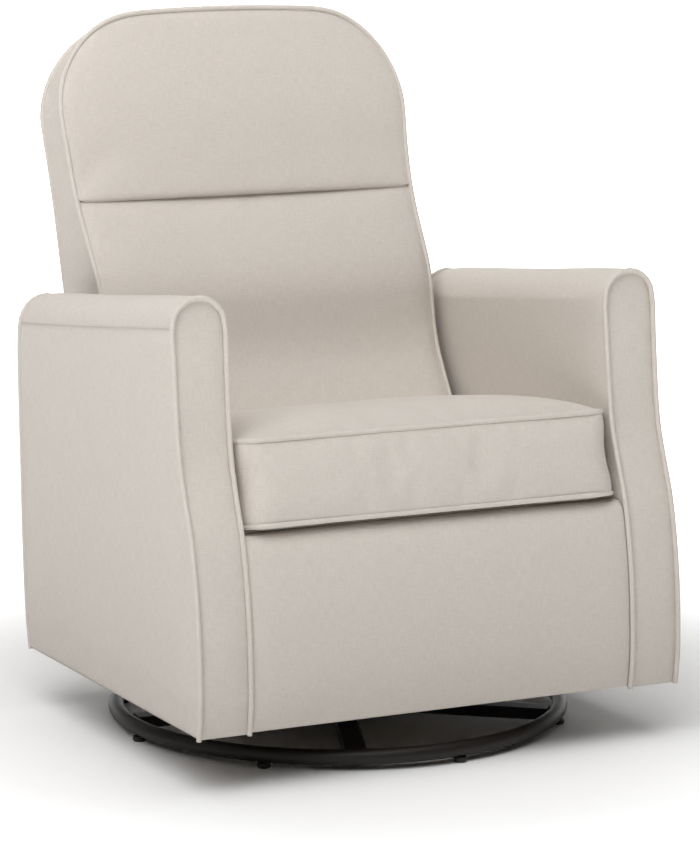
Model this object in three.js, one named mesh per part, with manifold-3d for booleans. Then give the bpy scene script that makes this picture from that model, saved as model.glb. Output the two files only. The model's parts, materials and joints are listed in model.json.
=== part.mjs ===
// Glider nursery chair: an upholstered armchair that hangs from four swing links and turns on a
// round swivel base. Millimetres, +Z up, -Y is the front, +X is the right side seen from the front.
// Every position is worked out from the swivel axis; the last lines centre the whole chair.
import * as THREE from 'three';
import { mergeVertices } from 'three/addons/utils/BufferGeometryUtils.js';
import Module from 'manifold-3d';

const wasm = await Module();
wasm.setup();

// ---------------------------------------------------------------- driving sizes
// Upholstery
const seatGap = 558; // between the two inner arm seams
const armWidth = 70; // inner seam to outer seam of one arm, low down
const armTopWidening = 2.5; // how much further in the inner seam stands at the top
const armHeight = 619; // top of the arm pad at its front
const hemHeight = 74; // lower edge of the upholstery above the floor
const frontReach = 318; // swivel axis to the foremost arm seam
const rearReach = 284; // swivel axis to the arms' rear seam
const backHeight = 945; // top of the back pad at its centre
const backAboveRail = 6; // side rail's sloping top to the underside of the back pad
const foldHeight = 692; // fold between back pad and headrest
const backSideGap = 28; // inner arm seam to the side of the back, low down
const backCornerRadius = 124; // upper corners of the back, seen from the front
const backRearDrop = 16; // how much lower the top of the back is at its rear seam
const backTopCrown = 15; // how much the top edge of the back arches
const padCrown = 16; // how far the back's front faces bulge
const seatPitch = 8.5; // degrees by which the cushion, deck and rail tops fall towards the back
const cushionBottom = 335; // bottom seam of the seat cushion at its front
const cushionBoxing = 109; // bottom seam to top seam of the seat cushion
const cushionCrown = 38; // bulge of the cushion's top above its top seam
const cushionSideGap = 10.5; // inner arm seam to the cushion's side seam
const cushionFrontReach = 292; // swivel axis to the cushion's front bottom seam
const cushionFrontSlope = 29; // how far the top seam sits behind the bottom seam
const cushionCornerRadius = 24;
const apronAboveRail = 4; // seat rail top to the apron's top edge
const apronThickness = 24;
const rearPanelAboveRail = 1;
const rearPanelThickness = 22;
const deckThickness = 10;
const pipingRadius = 3.5;
const armPipingStep = 25; // lengths of the straight pieces of the modelled piping
const backPipingStep = 32;
const cushionPipingStep = 25;

// Wooden frame
const boardThickness = 18; // arm boards
const armWall = 25; // padding between an arm board and the arm's edge
const railThickness = 26; // seat rails
const railHeight = 112; // of the seat rails at the front
const frontRailGap = 2; // apron's inner face to the front rail
const rearRailSetback = 53; // rear arm seam to the rear rail
const backFrameThickness = 20;
const backFrameInset = 14; // back's rear seam to the frame's rear face
const backFrameMargin = 38; // side of the back to the frame's edge
const backFrameHeight = 565;
const frameBarWidth = 60; // posts and rails of the back frame

// Springs
const springCount = 4;
const springWire = 1.8; // wire radius
const springPitch = 124;
const springSwing = 24;
const springHalfWaves = 9;
const springSeat = 8; // how far the springs reach over the front and rear rails
const springStep = 26; // length of a straight piece of the modelled wire
const tieWireOffset = 85;

// Swivel base
const ringRadius = 305;
const ringTubeRadius = 10.5;
const glideHeight = 6.9;
const glideRadius = 9;
const glideAngles = [3.4, 45.3, 95.2, 142, 183.4, 225.3, 275.2, 322];
const spokeCount = 5;
const spokeStartAngle = 32.3;
const spokeWidth = 28;
const spokeThickness = 16;
const hubRadius = 30;
const hubFlangeRadius = 78;
const hubFlangeThickness = 5;
const kingpinRadius = 8;
const kingpinHeadRadius = 15;
const kingpinHeadThickness = 5.5;
const raceInner = 42;
const raceOuter = 64;
const raceThickness = 4;
const ballRadius = 3;
const ballCount = 12;

// Glide mechanism
const carrierWidth = 160;
const carrierThickness = 4;
const carrierFlange = 26;
const hangerInset = 186; // swivel axis to the inner face of a hanger
const plateThickness = 4;
const linkThickness = 5;
const plateSpacing = 4; // free space between neighbouring plates
const pivotSpread = 130; // swivel axis to each pivot, front and rear
const upperPivotHeight = 228;
const linkLength = 110;
const linkWidth = 26;
const legWidth = 30;
const beamHeight = 32;
const rivetRadius = 6;
const rivetHeadRadius = 10;
const rivetHeadThickness = 3;
const glideRailReach = 170; // half length of a glide rail's flange

// Fits
const fitGap = 0.3; // between hard pieces that touch
const softGap = 1; // between padding and piping

// ---------------------------------------------------------------- materials
function material(color, roughness, metalness) {
  return new THREE.MeshStandardMaterial({ color, roughness, metalness });
}

const linen = () => material(0xd6cec5, 0.9, 0);
const welt = () => material(0xd9d1c8, 0.9, 0);
const wood = () => material(0xc9a878, 0.7, 0);
const bronzePaint = () => material(0x241a14, 0.45, 0.6);
const zincSteel = () => material(0x9a9c9e, 0.4, 0.9);
const nylon = () => material(0x1b1917, 0.6, 0);

// ---------------------------------------------------------------- geometry helpers
const chair = new THREE.Group();

function addPart(name, geometry, partMaterial) {
  const mesh = new THREE.Mesh(geometry, partMaterial);
  mesh.name = name;
  chair.add(mesh);
  return mesh;
}

function signedVolume(geometry) {
  const position = geometry.getAttribute('position');
  const corner = [new THREE.Vector3(), new THREE.Vector3(), new THREE.Vector3()];
  let volume = 0;
  for (let i = 0; i < geometry.index.count; i += 3) {
    corner.forEach((point, k) => point.fromBufferAttribute(position, geometry.index.getX(i + k)));
    volume += corner[0].dot(corner[1].clone().cross(corner[2])) / 6;
  }
  return volume;
}

// Merged vertices, faces out.
function closedGeometry(source) {
  const bare = source.clone();
  bare.deleteAttribute('normal');
  bare.deleteAttribute('uv');
  const geometry = mergeVertices(bare, 1e-3);
  if (signedVolume(geometry) < 0) {
    const index = geometry.index.array;
    for (let i = 0; i < index.length; i += 3) {
      [index[i], index[i + 1]] = [index[i + 1], index[i]];
    }
  }
  return geometry;
}

function toSolid(geometry) {
  const closed = closedGeometry(geometry);
  return new wasm.Manifold(new wasm.Mesh({
    numProp: 3,
    vertProperties: new Float32Array(closed.getAttribute('position').array),
    triVerts: new Uint32Array(closed.index.array),
  }));
}

function fromSolid(solid) {
  const mesh = solid.getMesh();
  const geometry = new THREE.BufferGeometry();
  geometry.setAttribute('position', new THREE.BufferAttribute(mesh.vertProperties, 3));
  geometry.setIndex(new THREE.BufferAttribute(mesh.triVerts, 1));
  return geometry;
}

function cut(geometry, ...tools) {
  return fromSolid(tools.reduce((solid, tool) => solid.subtract(toSolid(tool)), toSolid(geometry)));
}

function join(first, ...others) {
  return fromSolid(others.reduce((solid, other) => solid.add(toSolid(other)), toSolid(first)));
}

// A box grid whose vertices are placed by a function of (u, v, w), each from -1 to 1.
function shapedBox(stepsX, stepsY, stepsZ, place) {
  const geometry = closedGeometry(new THREE.BoxGeometry(2, 2, 2, stepsX, stepsY, stepsZ));
  const position = geometry.getAttribute('position');
  for (let i = 0; i < position.count; i += 1) {
    position.setXYZ(i, ...place(position.getX(i), position.getY(i), position.getZ(i)));
  }
  return closedGeometry(geometry);
}

function block(low, high) {
  const size = high.map((value, k) => value - low[k]);
  const geometry = new THREE.BoxGeometry(...size);
  geometry.translate(...low.map((value, k) => value + size[k] / 2));
  return closedGeometry(geometry);
}

function rod(radius, length, segments) {
  return closedGeometry(new THREE.CylinderGeometry(radius, radius, length, segments));
}

// A round tube through points, cut into steps of about stepLength; sides must be even.
function tube(points, radius, sides, stepLength, closed = false) {
  const section = new THREE.Shape();
  section.absarc(0, 0, radius, 0, Math.PI * 2);
  const route = new THREE.CatmullRomCurve3(points, closed, 'centripetal');
  const steps = Math.ceil(route.getLength() / stepLength);
  const options = { steps, curveSegments: sides / 2, extrudePath: route };
  return closedGeometry(new THREE.ExtrudeGeometry(section, options));
}

function turned(profile, segments) {
  const points = profile.map(([radius, height]) => new THREE.Vector2(radius, height));
  const geometry = new THREE.LatheGeometry(points, segments);
  geometry.rotateX(Math.PI / 2);
  return closedGeometry(geometry);
}

function washer(inner, outer, low, high, segments) {
  return turned([[inner, low], [outer, low], [outer, high], [inner, high], [inner, low]], segments);
}

// A flat plate standing in the YZ plane, from x = inner to x = inner + thickness on one side.
function sidePlate(outline, holes, thickness, side, inner) {
  const shape = new THREE.Shape(outline.map(([y, z]) => new THREE.Vector2(y, z)));
  holes.forEach(([y, z, radius]) => {
    const hole = new THREE.Path();
    hole.absarc(y, z, radius, 0, Math.PI * 2);
    shape.holes.push(hole);
  });
  const options = { depth: thickness, bevelEnabled: false, curveSegments: 8 };
  const geometry = new THREE.ExtrudeGeometry(shape, options);
  const yzPlane = new THREE.Matrix4().makeBasis(
    new THREE.Vector3(0, 1, 0),
    new THREE.Vector3(0, 0, 1),
    new THREE.Vector3(1, 0, 0),
  );
  geometry.applyMatrix4(yzPlane);
  geometry.translate(inner, 0, 0);
  geometry.scale(side, 1, 1);
  return closedGeometry(geometry);
}

// A smooth curve through [key, value] pairs, held level beyond its ends.
function profile(pairs) {
  const slope = pairs.map((pair, i) => {
    const before = pairs[Math.max(i - 1, 0)];
    const after = pairs[Math.min(i + 1, pairs.length - 1)];
    return (after[1] - before[1]) / (after[0] - before[0]);
  });
  return (key) => {
    if (key <= pairs[0][0]) return pairs[0][1];
    const last = pairs.length - 1;
    if (key >= pairs[last][0]) return pairs[last][1];
    const i = pairs.findIndex((pair) => pair[0] > key) - 1;
    const span = pairs[i + 1][0] - pairs[i][0];
    const t = (key - pairs[i][0]) / span;
    const blend = t * t * (3 - 2 * t);
    const start = pairs[i][1] * (1 - blend) + pairs[i + 1][1] * blend;
    return start + span * t * (1 - t) * ((1 - t) * slope[i] - t * slope[i + 1]);
  };
}

const { lerp, degToRad } = THREE.MathUtils;
const leftAndRight = [['left', -1], ['right', 1]];
const frontAndRear = [['front', -1], ['rear', 1]];
const seamOffset = (pipingRadius + softGap) / Math.SQRT2; // padding edge to seam, per direction

// ---------------------------------------------------------------- swivel base
const ringHeight = glideHeight + fitGap + ringTubeRadius;
const spokeTop = ringHeight + spokeThickness / 2;
const spokeBottom = ringHeight - spokeThickness / 2;
const hubTop = spokeTop + fitGap + hubFlangeThickness;
const ballHeight = hubTop + fitGap + raceThickness + fitGap + ballRadius;
const upperRaceBottom = ballHeight + ballRadius + fitGap;
const carrierBottom = upperRaceBottom + raceThickness + fitGap;
const carrierFloor = carrierBottom + carrierThickness;

function buildBaseRing() {
  const section = [];
  const sides = 10;
  for (let i = 0; i <= sides; i += 1) {
    const angle = (i / sides) * Math.PI * 2;
    const radius = ringRadius + ringTubeRadius * Math.sin(angle);
    section.push([radius, ringHeight - ringTubeRadius * Math.cos(angle)]);
  }
  addPart('base_ring', turned(section, 48), bronzePaint());
}

function buildSpokes() {
  const innerWall = ringRadius - ringTubeRadius;
  const arcDrop = innerWall - Math.sqrt(innerWall ** 2 - (spokeWidth / 2) ** 2);
  const outer = innerWall - arcDrop - 2 * fitGap;
  for (let i = 0; i < spokeCount; i += 1) {
    const low = [hubRadius + fitGap, -spokeWidth / 2, spokeBottom];
    const spoke = block(low, [outer, spokeWidth / 2, spokeTop]);
    spoke.rotateZ(degToRad(spokeStartAngle + (i * 360) / spokeCount));
    addPart(`base_spoke_${i + 1}`, spoke, bronzePaint());
  }
}

function buildGlides() {
  const rounding = 1.5;
  const shape = [
    [0, 0],
    [glideRadius - rounding, 0],
    [glideRadius, rounding],
    [glideRadius, glideHeight],
    [0, glideHeight],
  ];
  glideAngles.forEach((degrees, i) => {
    const angle = degToRad(degrees);
    const glide = turned(shape, 12);
    glide.translate(ringRadius * Math.cos(angle), ringRadius * Math.sin(angle), 0);
    addPart(`foot_glide_${i + 1}`, glide, nylon());
  });
}

function buildSwivelBearing() {
  const bore = kingpinRadius + fitGap;
  const flangeBottom = spokeTop + fitGap;
  addPart('hub', turned([
    [bore, spokeBottom],
    [hubRadius, spokeBottom],
    [hubRadius, flangeBottom],
    [hubFlangeRadius, flangeBottom],
    [hubFlangeRadius, hubTop],
    [bore, hubTop],
    [bore, spokeBottom],
  ], 24), bronzePaint());

  const lowerRace = hubTop + fitGap;
  const lower = washer(raceInner, raceOuter, lowerRace, lowerRace + raceThickness, 24);
  addPart('bearing_lower_race', lower, zincSteel());
  const upper = washer(raceInner, raceOuter, upperRaceBottom, upperRaceBottom + raceThickness, 24);
  addPart('bearing_upper_race', upper, zincSteel());

  const trackRadius = (raceInner + raceOuter) / 2;
  const cageThickness = 1.6;
  const cageWidth = 10;
  const cage = washer(trackRadius - cageWidth / 2, trackRadius + cageWidth / 2,
    ballHeight - cageThickness / 2, ballHeight + cageThickness / 2, 24);
  const balls = [];
  for (let i = 0; i < ballCount; i += 1) {
    const angle = (i * Math.PI * 2) / ballCount;
    const ball = new THREE.SphereGeometry(ballRadius, 6, 4);
    ball.translate(trackRadius * Math.cos(angle), trackRadius * Math.sin(angle), ballHeight);
    balls.push(ball);
  }
  addPart('ball_cage', join(cage, ...balls), zincSteel());

  const headTop = spokeBottom - fitGap;
  const collarBottom = carrierFloor + fitGap;
  addPart('kingpin', turned([
    [0, headTop - kingpinHeadThickness],
    [kingpinHeadRadius, headTop - kingpinHeadThickness],
    [kingpinHeadRadius, headTop],
    [kingpinRadius, headTop],
    [kingpinRadius, collarBottom],
    [kingpinHeadRadius, collarBottom],
    [kingpinHeadRadius, collarBottom + kingpinHeadThickness],
    [0, collarBottom + kingpinHeadThickness],
  ], 16), zincSteel());
}

// ---------------------------------------------------------------- seat heights and arm seams
const deckTop = cushionBottom - pipingRadius - softGap;
const deckBottom = deckTop - deckThickness;
const springHeight = deckBottom - 2 * fitGap - springWire;
const railTop = springHeight - springWire - fitGap;
const railBottom = railTop - railHeight;
const apronTop = railTop + apronAboveRail;

// These heights hold at the cushion's front seam; everything under the cushion falls towards the back.
const pitchSlope = Math.tan(degToRad(seatPitch));
const pitchDrop = (y) => pitchSlope * (y + cushionFrontReach);
const railTopAt = (y) => railTop - pitchDrop(y);

function pitched(geometry) {
  const shear = new THREE.Matrix4().makeShear(0, 0, 0, -pitchSlope, 0, 0);
  geometry.applyMatrix4(shear);
  geometry.translate(0, 0, -pitchSlope * cushionFrontReach);
  return geometry;
}

// Arm front seam behind the foremost seam, by height.
const armFrontSetback = profile([
  [72, 6], [110, 0.5], [185, 2], [250, 9], [310, 21], [346, 32], [380, 46], [420, 59], [470, 67], [600, 80],
]);
// Arm rear seam ahead of the rearmost seam, by height.
const armRearSetback = profile([[74, 26], [110, 17], [200, 8], [340, 3], [440, 0], [500, 0], [545, 8]]);
// Arm top below its front height, by distance behind the arm's top front edge.
const armTopDrop = profile([[0, 0], [78, 3], [175, 15], [310, 30], [440, 42], [510, 58]]);

const apronFaceY = (z) => -frontReach + armFrontSetback(z) + softGap;
const frontRailY = apronFaceY(railTop) + apronThickness + frontRailGap;
const rearRailY = rearReach - rearRailSetback;
const rearPanelTop = railTopAt(rearRailY) + rearPanelAboveRail;

// ---------------------------------------------------------------- glide mechanism
const hangerOuter = hangerInset + plateThickness;
const linkInner = hangerOuter + plateSpacing;
const linkOuter = linkInner + linkThickness;
const railInner = linkOuter + plateSpacing;
const railOuter = railInner + plateThickness;
const lowerPivotHeight = upperPivotHeight - linkLength;
const pivotHole = rivetRadius + fitGap;

function buildCarrier() {
  const half = carrierWidth / 2;
  const wall = carrierThickness;
  const reach = hangerInset - fitGap;
  const web = block([-reach, -half, carrierBottom], [reach, half, carrierFloor]);
  const flanges = frontAndRear.map(([, end]) => {
    const outer = end * half;
    const inner = end * (half - wall);
    const low = [-reach, Math.min(outer, inner), carrierBottom];
    return block(low, [reach, Math.max(outer, inner), carrierBottom + carrierFlange]);
  });
  const bore = rod(kingpinRadius + 2 * fitGap, 4 * carrierThickness, 24);
  bore.rotateX(Math.PI / 2);
  bore.translate(0, 0, carrierBottom);
  addPart('swivel_carrier', cut(join(web, ...flanges), bore), bronzePaint());
}

// A beam with two legs, drawn in the YZ plane; towards = 1 for legs that rise, -1 for legs that hang.
function forkOutline(beamEdge, pivotHeight, towards, beamReach) {
  const beamInner = beamEdge + towards * beamHeight;
  const tip = pivotHeight + towards * (legWidth / 2);
  const shoulder = pivotHeight + towards * (legWidth / 4);
  const inner = pivotSpread - legWidth / 2;
  const outer = pivotSpread + legWidth / 2;
  const chamfer = legWidth / 4;
  return [
    [-beamReach, beamEdge],
    [beamReach, beamEdge],
    [beamReach, beamInner],
    [outer, beamInner],
    [outer, shoulder],
    [outer - chamfer, tip],
    [inner + chamfer, tip],
    [inner, shoulder],
    [inner, beamInner],
    [-inner, beamInner],
    [-inner, shoulder],
    [-inner - chamfer, tip],
    [-outer + chamfer, tip],
    [-outer, shoulder],
    [-outer, beamInner],
    [-beamReach, beamInner],
  ];
}

// A rivet along X on one side: a head at each end of its shank, turned about the pivot axis.
function addRivet(name, side, y, z, inner, outer) {
  const from = inner - fitGap;
  const to = outer + fitGap;
  const rivet = turned([
    [0, from - rivetHeadThickness],
    [rivetHeadRadius, from - rivetHeadThickness],
    [rivetHeadRadius, from],
    [rivetRadius, from],
    [rivetRadius, to],
    [rivetHeadRadius, to],
    [rivetHeadRadius, to + rivetHeadThickness],
    [0, to + rivetHeadThickness],
  ], 14);
  rivet.rotateY(side * (Math.PI / 2));
  rivet.translate(0, y, z);
  addPart(name, rivet, zincSteel());
}

function buildHangers() {
  const beamReach = pivotSpread + legWidth / 2;
  leftAndRight.forEach(([sideName, side]) => {
    const holes = frontAndRear.map(([, end]) => [end * pivotSpread, upperPivotHeight, pivotHole]);
    const outline = forkOutline(carrierBottom, upperPivotHeight, 1, beamReach);
    const hanger = sidePlate(outline, holes, plateThickness, side, hangerInset);
    addPart(`hanger_${sideName}`, hanger, bronzePaint());
  });
}

function linkOutline() {
  const radius = linkWidth / 2;
  const arcSteps = 6;
  const outline = [];
  [[upperPivotHeight, 0], [lowerPivotHeight, Math.PI]].forEach(([height, start]) => {
    for (let i = 0; i <= arcSteps; i += 1) {
      const angle = start + (i / arcSteps) * Math.PI;
      outline.push([radius * Math.cos(angle), height + radius * Math.sin(angle)]);
    }
  });
  return outline;
}

function buildLinks() {
  leftAndRight.forEach(([sideName, side]) => {
    frontAndRear.forEach(([endName, end]) => {
      const y = end * pivotSpread;
      const outline = linkOutline().map(([across, height]) => [y + across, height]);
      const holes = [[y, upperPivotHeight, pivotHole], [y, lowerPivotHeight, pivotHole]];
      const link = sidePlate(outline, holes, linkThickness, side, linkInner);
      addPart(`link_${endName}_${sideName}`, link, zincSteel());
      addRivet(`upper_rivet_${endName}_${sideName}`, side, y, upperPivotHeight, hangerInset, linkOuter);
      addRivet(`lower_rivet_${endName}_${sideName}`, side, y, lowerPivotHeight, linkInner, railOuter);
    });
  });
}

const sideRailOuter = seatGap / 2 - seamOffset;
const sideRailInner = sideRailOuter - railThickness;

function buildGlideRails() {
  const flangeTop = railBottom - fitGap;
  const flangeBottom = flangeTop - plateThickness;
  leftAndRight.forEach(([sideName, side]) => {
    const holes = frontAndRear.map(([, end]) => [end * pivotSpread, lowerPivotHeight, pivotHole]);
    const outline = forkOutline(flangeTop, lowerPivotHeight, -1, glideRailReach);
    const plate = sidePlate(outline, holes, plateThickness, side, railInner);
    const flangeEnds = [side * railInner, side * (sideRailOuter - plateThickness)];
    const flange = block(
      [Math.min(...flangeEnds), -glideRailReach, flangeBottom],
      [Math.max(...flangeEnds), glideRailReach, flangeTop],
    );
    addPart(`glide_rail_${sideName}`, join(plate, flange), bronzePaint());
  });
}

// ---------------------------------------------------------------- wooden seat frame and springs
function buildSeatFrame() {
  leftAndRight.forEach(([sideName, side]) => {
    const outline = [
      [frontRailY, railBottom],
      [rearRailY, railBottom],
      [rearRailY, railTopAt(rearRailY)],
      [frontRailY, railTopAt(frontRailY)],
    ];
    const rail = sidePlate(outline, [], railThickness, side, sideRailInner);
    addPart(`seat_rail_${sideName}`, rail, wood());
  });
  const reach = sideRailInner - fitGap;
  [['front', frontRailY], ['rear', rearRailY - railThickness]].forEach(([endName, y]) => {
    const top = railTopAt(y + railThickness);
    const rail = block([-reach, y, railBottom], [reach, y + railThickness, top]);
    addPart(`seat_rail_${endName}`, rail, wood());
  });
}

function buildSprings() {
  const start = frontRailY + railThickness - springSeat;
  const end = rearRailY - railThickness + springSeat;
  const spacing = (end - start) / (springHalfWaves + 1);
  const wires = [];
  for (let i = 0; i < springCount; i += 1) {
    const x = (i - (springCount - 1) / 2) * springPitch;
    const points = [new THREE.Vector3(x, start, springHeight)];
    for (let k = 0; k < springHalfWaves; k += 1) {
      const swing = k % 2 === 0 ? springSwing : -springSwing;
      const y = start + spacing * (k + 1);
      points.push(new THREE.Vector3(x + swing, y - spacing / 4, springHeight));
      points.push(new THREE.Vector3(x + swing, y + spacing / 4, springHeight));
    }
    points.push(new THREE.Vector3(x, end, springHeight));
    wires.push(tube(points, springWire, 4, springStep));
  }
  const tieReach = ((springCount - 1) / 2) * springPitch + springSwing;
  [-tieWireOffset, tieWireOffset].forEach((y) => {
    const tie = rod(springWire, 2 * tieReach, 5);
    tie.rotateZ(Math.PI / 2);
    tie.translate(0, y, springHeight);
    wires.push(tie);
  });
  addPart('seat_springs', pitched(join(...wires)), zincSteel());
}

// ---------------------------------------------------------------- arms
const armCentre = seatGap / 2 + armWidth / 2;
const armPadRadius = armWidth / 2 - seamOffset;
const armFrontPadY = (z) => -frontReach + armFrontSetback(z) + seamOffset;
const armRearPadY = (z) => rearReach - armRearSetback(z) - seamOffset;
const armTopFrontY = armFrontPadY(armHeight);
const armTopRearY = armRearPadY(armHeight);

const armRidge = (y) => armHeight - armTopDrop(y - armTopFrontY);
const armWidening = profile([[350, 0], [440, armTopWidening / 2], [560, armTopWidening]]);
const archRadius = armPadRadius + armTopWidening / 2;

// x on one arm at a height; across is -1 at the inner face of the padding and 1 at its outer face.
function armX(across, z, outside = 0) {
  const widening = armWidening(z);
  return armCentre - widening / 2 + across * (armPadRadius + widening / 2 + outside);
}

// The arm board's outline, grown all round for its slot in the padding.
function armBoardOutline(grow, bottom) {
  const inset = armWall - grow;
  const low = hemHeight + armWall;
  const topInset = inset + armPadRadius / 2;
  const rearTop = armRidge(armTopRearY) - topInset;
  const leaning = [0.35, 0.6].map((share) => lerp(low, armHeight, share));
  const footTop = low + armWall;
  return [
    [armFrontPadY(low) + inset, bottom],
    [armFrontPadY(low) + inset, footTop],
    ...leaning.map((z) => [armFrontPadY(z) + inset, z]),
    [armTopFrontY + inset, armRidge(armTopFrontY) - topInset],
    [armRearPadY(rearTop) - inset, rearTop],
    [armRearPadY(low) - inset, footTop],
    [armRearPadY(low) - inset, bottom],
  ];
}

function buildArm(sideName, side) {
  const steps = [4, 10, 12];
  const pad = shapedBox(...steps, (u, v, w) => {
    const along = 1 - (1 - (v + 1) / 2) ** 1.6;
    const lean = (u * Math.PI) / 2;
    const ridge = armRidge(lerp(armTopFrontY, armTopRearY, along));
    const top = ridge - archRadius * (1 - Math.cos(lean));
    const z = lerp(hemHeight, top, (w + 1) / 2);
    const y = lerp(armFrontPadY(z), armRearPadY(z), along);
    return [side * armX(Math.sin(lean), z), y, z];
  });
  const boardInner = armCentre - boardThickness / 2;
  const board = sidePlate(armBoardOutline(0, hemHeight + armWall), [], boardThickness, side, boardInner);
  const slotWidth = boardThickness + 2 * fitGap;
  const slotOutline = armBoardOutline(2 * fitGap, hemHeight - armWall);
  const slot = sidePlate(slotOutline, [], slotWidth, side, boardInner - fitGap);
  addPart(`arm_pad_${sideName}`, cut(pad, slot), linen());
  addPart(`arm_board_${sideName}`, board, wood());
}

// Piping up one seam, over the arm's rounded edge and down the other seam.
function archedPiping(topCentreHeight, seamY, bottom) {
  const radius = archRadius + seamOffset;
  const straightSteps = 12;
  const archSteps = 10;
  const points = [];
  for (let i = 0; i < straightSteps; i += 1) {
    const z = lerp(bottom, topCentreHeight, i / straightSteps);
    points.push([armX(-1, z, seamOffset), seamY(z), z]);
  }
  for (let i = 0; i <= archSteps; i += 1) {
    const angle = Math.PI * (1 - i / archSteps);
    const z = topCentreHeight + radius * Math.sin(angle);
    points.push([armX(Math.cos(angle), z, seamOffset), seamY(z), z]);
  }
  for (let i = straightSteps - 1; i >= 0; i -= 1) {
    const z = lerp(bottom, topCentreHeight, i / straightSteps);
    points.push([armX(1, z, seamOffset), seamY(z), z]);
  }
  return points;
}

function buildArmPiping(sideName, side) {
  const bottom = hemHeight - 1.5 * pipingRadius;
  const placed = (points) => points.map(([x, y, z]) => new THREE.Vector3(side * x, y, z));
  const frontCentre = armRidge(armTopFrontY) - archRadius;
  const front = archedPiping(frontCentre, (z) => -frontReach + armFrontSetback(z), bottom);
  addPart(`arm_front_piping_${sideName}`, tube(placed(front), pipingRadius, 6, armPipingStep), welt());
  const rearCentre = armRidge(armTopRearY) - archRadius;
  const rear = archedPiping(rearCentre, (z) => rearReach - armRearSetback(z), bottom);
  addPart(`arm_rear_piping_${sideName}`, tube(placed(rear), pipingRadius, 6, armPipingStep), welt());
}

// ---------------------------------------------------------------- apron, rear panel, deck
const panelReach = seatGap / 2 - pipingRadius - softGap;

function buildLowerPanels() {
  const apron = shapedBox(1, 1, 8, (u, v, w) => {
    const z = lerp(hemHeight + 2, apronTop, (w + 1) / 2);
    return [u * panelReach, apronFaceY(z) + ((v + 1) / 2) * apronThickness, z];
  });
  addPart('apron_pad', apron, linen());
  const rearPanel = shapedBox(1, 1, 4, (u, v, w) => {
    const z = lerp(hemHeight + 2, rearPanelTop, (w + 1) / 2);
    const face = rearReach - armRearSetback(z) - softGap;
    return [u * panelReach, face - ((1 - v) / 2) * rearPanelThickness, z];
  });
  addPart('rear_panel_pad', rearPanel, linen());
  const deckRear = backFrontPadY(backFrontBottom) - padCrown - 2 * softGap;
  const deck = block([-panelReach, frontRailY, deckBottom], [panelReach, deckRear, deckTop]);
  addPart('seat_deck', pitched(deck), linen());
}

// ---------------------------------------------------------------- back
// Front and rear seams of the back behind the swivel axis, and its extra half width, by height.
const backFrontSeamY = profile([
  [275, 118], [322, 118], [360, 130], [400, 153], [440, 178], [480, 199], [520, 209], [560, 216], [600, 234],
  [640, 260], [690, 288], [740, 307], [800, 324], [860, 343], [920, 359],
]);
const backRearSeamY = profile([
  [262, 254], [322, 273], [400, 296], [480, 321], [560, 347], [620, 360], [680, 371], [740, 385],
  [790, 396], [840, 403],
]);
const backFlare = profile([[560, 0], [640, 3], [740, 8], [820, 12]]);

const backHalfWidth = (z) => seatGap / 2 - backSideGap + backFlare(z);
const backFrontPadY = (z) => backFrontSeamY(z) + seamOffset;
const backRearPadY = (z) => backRearSeamY(z) - seamOffset;
const backBottomAt = (seamY) => railTopAt(seamY) + backAboveRail;
const backFrontBottom = backBottomAt(backFrontSeamY(cushionBottom) - seamOffset);
const backRearBottom = backBottomAt(rearRailY);

// Seen from the front: share = -1 to 1 from the left side over the top to the right side.
const topShare = 1 / 3; // part of the share spent on the arched top, the rest on the corners
function backTopEdge(share, halfWidth, cornerRadius, top) {
  const flat = halfWidth - cornerRadius;
  const side = Math.sign(share);
  const part = Math.abs(share);
  if (part <= topShare) {
    const x = flat * (part / topShare);
    return [side * x, top - backTopCrown * (x / halfWidth) ** 2];
  }
  const angle = ((part - topShare) / (1 - topShare)) * (Math.PI / 2);
  const x = flat + cornerRadius * Math.sin(angle);
  const drop = backTopCrown * (x / halfWidth) ** 2;
  return [side * x, top - drop - cornerRadius * (1 - Math.cos(angle))];
}

function backBody(stepsZ, bottomOf, topOf) {
  return shapedBox(12, 2, stepsZ, (u, v, w) => {
    const rise = (w + 1) / 2;
    const z = lerp(bottomOf(v), topOf(u, v), rise);
    const [edgeX] = backTopEdge(u, backHalfWidth(z), backCornerRadius, backHeight);
    const bulge = padCrown * (1 - u * u) * (1 - w * w);
    const y = lerp(backFrontPadY(z) - bulge, backRearPadY(z), (v + 1) / 2);
    return [edgeX, y, z];
  });
}

const backFrameBottom = railTopAt(rearRailY) + fitGap;
const backFrameTop = backFrameBottom + backFrameHeight;

// The back frame's slab, grown all round for its slot in the padding.
function backFrameSolid(grow) {
  return shapedBox(1, 1, 12, (u, v, w) => {
    const z = lerp(backFrameBottom, backFrameTop, (w + 1) / 2);
    const end = Math.abs(w) === 1 ? w * grow : 0;
    const reach = seatGap / 2 - backSideGap - backFrameMargin + grow;
    const middle = backRearPadY(z) - backFrameInset - backFrameThickness / 2;
    return [u * reach, middle + v * (backFrameThickness / 2 + grow), z + end];
  });
}

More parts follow.
